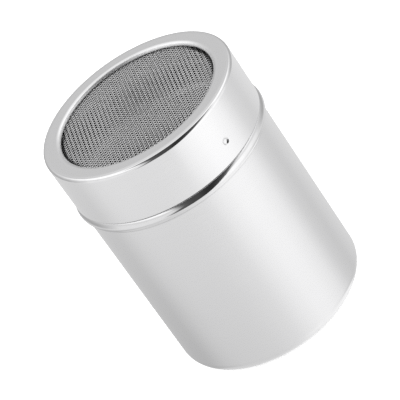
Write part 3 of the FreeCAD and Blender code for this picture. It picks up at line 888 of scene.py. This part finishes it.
def tent_light(tree):
    """The studio as polished steel shows it, by direction: a pale table and walls, brightest to
    the right of the camera, a pale roof, and a dark strip in front that runs up overhead."""
    way = add_node(tree, "ShaderNodeTexCoord").outputs["Generated"]
    x, y, z = add_node(tree, "ShaderNodeSeparateXYZ", {0: way}).outputs
    front = maths(tree, "MULTIPLY", y, -1.0)
    ahead = maths(tree, "MAXIMUM", front, ranged(tree, z, *TABLE_NEAR))
    azimuth = maths(tree, "MULTIPLY", maths(tree, "ARCTAN2", x, ahead), math.degrees(1))
    table = tone_ramp(tree, azimuth, -HALF, HALF, TABLE_TONES)
    deeper = ranged(tree, z, *TABLE_FALL)
    loss = ranged(tree, azimuth, *TABLE_LOSS)
    kept = maths(tree, "SUBTRACT", 1.0, maths(tree, "MULTIPLY", deeper, loss))
    table = maths(tree, "MULTIPLY", table, kept)

    heights = tone_ramp(tree, z, -1.0, 1.0, HEIGHT_TONES)
    aside = maths(tree, "MULTIPLY", ranged(tree, maths(tree, "ABSOLUTE", x), *GLOW_REACH),
                  ranged(tree, z, *GLOW_RISE))
    heights = maths(tree, "MULTIPLY_ADD", aside, GLOW_TONE, heights)
    behind = maths(tree, "MULTIPLY", ranged(tree, y, *BEHIND_REACH), ranged(tree, z, *BEHIND_RISE))
    above = maths(tree, "MAXIMUM", behind, ranged(tree, z, *ABOVE_RISE))
    whole = add_node(tree, "ShaderNodeMix", {0: above, 2: table, 3: heights}).outputs[0]

    rise = maths(tree, "MULTIPLY", maths(tree, "ARCTAN2", z, front), math.degrees(1))
    start, bend = STRIP_BEND
    swept = maths(tree, "MAXIMUM", maths(tree, "SUBTRACT", x, start), 0.0)
    swept = maths(tree, "MULTIPLY", maths(tree, "MULTIPLY", swept, swept), bend)
    leaning = maths(tree, "ADD", x, ranged(tree, rise, *STRIP_LEAN))
    strip = maths(tree, "MULTIPLY",
                  ranged(tree, maths(tree, "SUBTRACT", rise, swept), *STRIP_FOOT, smooth=True),
                  ranged(tree, rise, *STRIP_HEAD, smooth=True))
    strip = maths(tree, "MULTIPLY", strip, ranged(tree, leaning, *STRIP_LEFT, smooth=True))
    strip = maths(tree, "MULTIPLY", strip, ranged(tree, x, *STRIP_RIGHT, smooth=True))
    dark = tone_ramp(tree, x, -1.0, 1.0, STRIP_TONES)
    return add_node(tree, "ShaderNodeMix", {0: strip, 2: whole, 3: dark}).outputs[0]


def area_lamp(name, place, aim, size, power):
    """A soft lamp that points at a spot and doesn't show as a sharp shape in the steel."""
    data = bpy.data.lights.new(name, "AREA")
    data.shape = "DISK"
    data.size = size
    data.energy = power
    lamp = bpy.data.objects.new(name, data)
    bpy.context.scene.collection.objects.link(lamp)
    lamp.location = place
    lamp.rotation_euler = (Vector(aim) - Vector(place)).to_track_quat("-Z", "Y").to_euler()
    lamp.visible_glossy = False
    return lamp


class SHAKER_OT_studio(bpy.types.Operator):
    """Set up the floor, the light and the camera"""

    bl_idname = "shaker.studio"
    bl_label = "Studio"

    def execute(self, context):
        studio = context.scene.shaker_studio
        self.make_world(context.scene)
        self.make_floor(studio)
        for name, (place, size, power) in LAMPS.items():
            area_lamp(name, place, LAMP_AIM, size, power)
        self.make_camera(context.scene, studio)
        context.scene.view_settings.view_transform = "Standard"
        context.scene.cycles.use_denoising = False
        return {"FINISHED"}

    def make_world(self, scene):
        """White to the camera, even light to dull surfaces, and the studio to polished ones."""
        world = bpy.data.worlds.new("white_tent")
        world.use_nodes = True
        tree = world.node_tree
        tree.nodes.clear()
        path = add_node(tree, "ShaderNodeLightPath")
        seen = add_node(tree, "ShaderNodeBackground", {"Color": (1, 1, 1, 1), "Strength": 1.0})
        even = add_node(tree, "ShaderNodeBackground", {
            "Color": (1, 1, 1, 1), "Strength": EVEN_TONE})
        light = add_node(tree, "ShaderNodeBackground", {
            "Color": (1, 1, 1, 1), "Strength": tent_light(tree)})
        given = add_node(tree, "ShaderNodeMixShader", {
            0: path.outputs["Is Diffuse Ray"], 1: light.outputs[0], 2: even.outputs[0]})
        both = add_node(tree, "ShaderNodeMixShader", {
            0: path.outputs["Is Camera Ray"], 1: given.outputs[0], 2: seen.outputs[0]})
        output = add_node(tree, "ShaderNodeOutputWorld")
        tree.links.new(both.outputs[0], output.inputs[0])
        scene.world = world

    def make_floor(self, studio):
        """A pale round floor that keeps the shadow, and that the steel doesn't mirror."""
        turns = [math.tau * i / FLOOR_SIDES for i in range(FLOOR_SIDES)]
        rim = [(FLOOR_RADIUS * math.cos(t), FLOOR_RADIUS * math.sin(t), 0.0) for t in turns]
        floor = new_object("floor", rim, [tuple(range(FLOOR_SIDES))])
        material, tree, output = new_material("floor_paper")
        path = add_node(tree, "ShaderNodeLightPath")
        paper = add_node(tree, "ShaderNodeBsdfPrincipled", {
            "Base Color": tuple(studio.floor_colour) + (1.0,), "Roughness": 0.9,
            "Specular IOR Level": 0.0, "Emission Color": (1, 1, 1, 1),
            "Emission Strength": maths(tree, "MULTIPLY", path.outputs["Is Camera Ray"],
                                       studio.floor_lift)})
        tree.links.new(paper.outputs[0], output.inputs[0])
        floor.data.materials.append(material)
        floor.visible_glossy = False

    def make_camera(self, scene, studio):
        """The photograph's view: from the front and above, with the camera rolled."""
        data = bpy.data.cameras.new("camera")
        data.lens = studio.lens / MM
        data.clip_start, data.clip_end = CLIP_NEAR, CLIP_FAR
        camera = bpy.data.objects.new("camera", data)
        scene.collection.objects.link(camera)
        tilt = studio.elevation
        back = Vector((0.0, -math.cos(tilt), math.sin(tilt)))
        upward = Vector((0.0, math.sin(tilt), math.cos(tilt)))
        aim = Vector((AIM_SIDE, 0.0, AIM_LEVEL)) + upward * AIM_UP
        facing = Matrix((Vector((1, 0, 0)), upward, back)).transposed().to_4x4()
        camera.matrix_world = (Matrix.Translation(aim + back * studio.distance) @ facing
                               @ Matrix.Rotation(studio.roll, 4, "Z"))
        scene.camera = camera


class SHAKER_PT_build(bpy.types.Panel):
    """Lists the steps of the build"""

    bl_idname = "SHAKER_PT_build"
    bl_label = "Powder shaker"
    bl_space_type = "VIEW_3D"
    bl_region_type = "UI"
    bl_category = "Shaker"

    def draw(self, context):
        for step in STEPS:
            self.layout.operator(step.bl_idname)


STEPS = (SHAKER_OT_studio, SHAKER_OT_can, SHAKER_OT_lid, SHAKER_OT_ring, SHAKER_OT_screen)
GROUPS = {
    "shaker_can": ShakerCanSizes,
    "shaker_lid": ShakerLidSizes,
    "shaker_screen": ShakerScreenSizes,
    "shaker_finish": ShakerFinish,
    "shaker_studio": ShakerStudio,
}


def register():
    for group in GROUPS.values():
        bpy.utils.register_class(group)
    for step in STEPS:
        bpy.utils.register_class(step)
    bpy.utils.register_class(SHAKER_PT_build)
    for name, group in GROUPS.items():
        setattr(bpy.types.Scene, name, bpy.props.PointerProperty(type=group))


def unregister():
    for name in GROUPS:
        delattr(bpy.types.Scene, name)
    bpy.utils.unregister_class(SHAKER_PT_build)
    for step in reversed(STEPS):
        bpy.utils.unregister_class(step)
    for group in reversed(GROUPS.values()):
        bpy.utils.unregister_class(group)


def main():
    """Run every step."""
    register()
    for step in STEPS:
        family, name = step.bl_idname.split(".")
        getattr(getattr(bpy.ops, family), name)()


if __name__ == "__main__":
    main()
